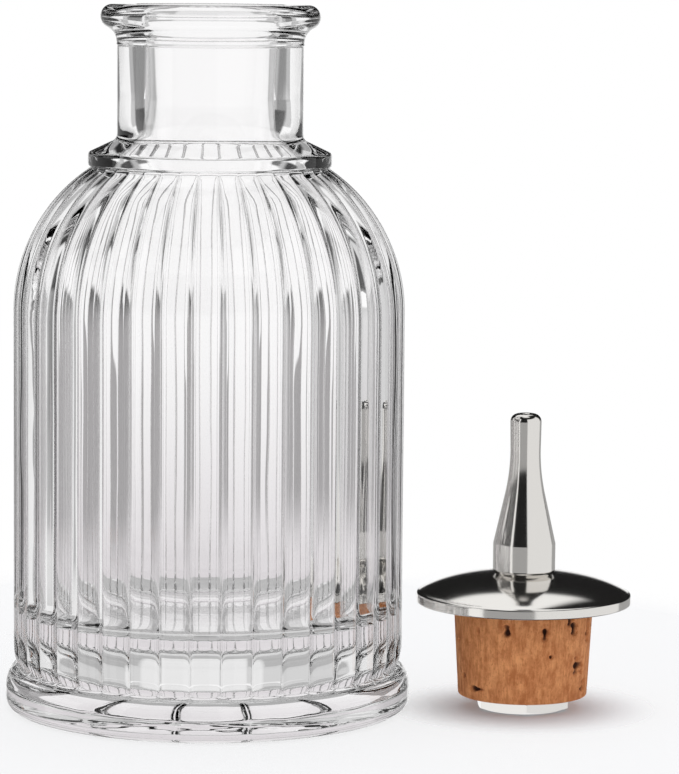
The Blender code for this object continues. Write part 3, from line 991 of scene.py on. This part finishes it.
class Sky:
    """Where a ray goes: its bearing, 0 behind the object and pi at the camera, and its rise."""

    def __init__(self, board):
        self.board = board
        direction = board.node("ShaderNodeTexCoord", output="Generated")
        x, y, self.up = (
            board.node("ShaderNodeSeparateXYZ", None, {0: direction}, output=axis) for axis in range(3)
        )
        self.bearing = board.node("ShaderNodeMath", {"operation": "ARCTAN2"}, {0: x, 1: y})

    def between(self, value, low, high, soft):
        """One from low to high, with soft edges."""
        rising = self.board.rise(value, low - soft, low + soft)
        return rising * self.board.rise(value, high - soft, high + soft, 1.0, 0.0)

    def sector(self, low, high, soft=2.0):
        """One between two bearings, in degrees."""
        return self.between(self.bearing, math.radians(low), math.radians(high), math.radians(soft))

    def outside(self, limit, soft=2.0):
        """One on the camera's side, beyond a bearing to the left and to the right, in degrees."""
        size = self.board.node("ShaderNodeMath", {"operation": "ABSOLUTE"}, {0: self.bearing})
        return self.board.rise(size, math.radians(limit - soft), math.radians(limit + soft))

    def layer(self, low, high, soft=1.5):
        """One between two rises above the horizon, in degrees."""
        low, high, soft = (math.sin(math.radians(angle)) for angle in (low, high, soft))
        return self.between(self.up, low, high, soft)

    def above(self, low, high):
        """Goes from nothing to one between two rises above the horizon, in degrees."""
        return self.board.rise(self.up, math.sin(math.radians(low)), math.sin(math.radians(high)))

    def patch(self, row):
        """One row of a table of lights or shades."""
        level, left, right, low, high, soft = row
        return level * self.sector(left, right, soft) * self.layer(low, high)

    def lit(self, seen, rows):
        """The brightest of what is seen and of each patch of light in a table."""
        for row in rows:
            seen = seen.at_least(self.patch(row))
        return seen


def seen_in_metal(sky):
    """What polished metal shows: lights behind and at both sides, a pale table and a white ceiling."""
    seen = (0.4 * sky.layer(-36, 3)).at_least(0.012)
    ceiling = (sky.sector(-58, 22, 5) * sky.above(38, 43)).at_least(0.8 * sky.above(70, 80))
    return sky.lit(seen, METAL_LIGHTS).at_least(ceiling)


def seen_through_glass(sky):
    """What clear glass shows beyond the card: white behind and above, grey at the sides, a pale table."""
    seen = (0.45 * sky.layer(-90, 6)).at_least(0.06).at_least(sky.above(30, 36))
    seen = sky.lit(seen, GLASS_LIGHTS)
    for level, limit, low, high in GLASS_SIDE_LIGHTS:
        seen = seen.at_least(level * sky.outside(limit) * sky.layer(low, high))
    return seen * (1 - sum(sky.patch(row) for row in GLASS_SHADES))


def studio_world(studio):
    """White background for the camera, an even room, and what glass and metal see round them."""
    world = bpy.data.worlds.new("studio")
    bpy.context.scene.world = world
    world.use_nodes = True
    board = Board(world.node_tree)
    sky = Sky(board)
    camera, mirror, through = board.ray_kinds("Is Camera Ray", "Is Glossy Ray", "Is Transmission Ray")
    seen = through * seen_through_glass(sky) + (1 - through) * seen_in_metal(sky)
    shown = mirror.at_least(through)
    level = camera + (1 - camera) * (shown * seen + (1 - shown) * studio.room_light)
    white = full((1.0, 1.0, 1.0))
    background = board.node("ShaderNodeBackground", None, {"Color": white, "Strength": level})
    board.node("ShaderNodeOutputWorld", None, {"Surface": background})


def photo_camera(studio):
    """Camera at the photograph's angle: level across, looking down by pitch and leaning by roll."""
    data = bpy.data.cameras.new("photo_camera")
    data.sensor_width = 36.0
    data.lens = studio.lens
    data.clip_start = 0.01
    camera = bpy.data.objects.new("photo_camera", data)
    tilt = Matrix.Rotation(math.pi / 2 - studio.pitch, 4, "X")
    lean = Matrix.Rotation(studio.roll, 4, "Z")
    camera.matrix_world = Matrix.Translation(studio.camera_place) @ tilt @ lean
    bpy.context.collection.objects.link(camera)
    bpy.context.scene.camera = camera


class BITTERS_OT_stage(bpy.types.Operator):
    """Set the camera, the table and the light"""

    bl_idname = "bitters.stage"
    bl_label = "Stage"

    def execute(self, context):
        studio = context.scene.bitters_studio
        context.scene.view_settings.view_transform = "Standard"
        photo_camera(studio)
        table_disc(studio)
        back_card(studio)
        studio_world(studio)
        for lamp in LAMPS:
            soft_lamp(*lamp)
        return {"FINISHED"}


class BITTERS_PT_panel(bpy.types.Panel):
    """Sizes, finishes and the steps that build the bottle"""

    bl_idname = "BITTERS_PT_panel"
    bl_label = "Bitters bottle"
    bl_space_type = "VIEW_3D"
    bl_region_type = "UI"
    bl_category = "Bottle"

    def draw(self, context):
        for operator in OPERATORS:
            self.layout.operator(operator.bl_idname)
        for group in GROUPS:
            sizes = getattr(context.scene, group)
            for name in sizes.bl_rna.properties.keys():
                if name not in ("rna_type", "name"):
                    self.layout.prop(sizes, name)


OPERATORS = (
    BITTERS_OT_stage,
    BITTERS_OT_glass,
    BITTERS_OT_nozzle,
    BITTERS_OT_disc,
    BITTERS_OT_nut,
    BITTERS_OT_cork,
    BITTERS_OT_stem,
)
GROUPS = {
    "bitters_glass": GlassSizes,
    "bitters_stopper": StopperSizes,
    "bitters_finishes": Finishes,
    "bitters_studio": Studio,
}


def register():
    """Register the classes and hang the property groups on the scene."""
    for item in (*GROUPS.values(), *OPERATORS, BITTERS_PT_panel):
        bpy.utils.register_class(item)
    for name, group in GROUPS.items():
        setattr(bpy.types.Scene, name, bpy.props.PointerProperty(type=group))


def unregister():
    """Take the property groups and the classes away again."""
    for name in GROUPS:
        delattr(bpy.types.Scene, name)
    for item in (BITTERS_PT_panel, *reversed(OPERATORS), *GROUPS.values()):
        bpy.utils.unregister_class(item)


def main():
    """Build everything in order."""
    register()
    for operator in OPERATORS:
        family, step = operator.bl_idname.split(".")
        getattr(getattr(bpy.ops, family), step)()


if __name__ == "__main__":
    main()
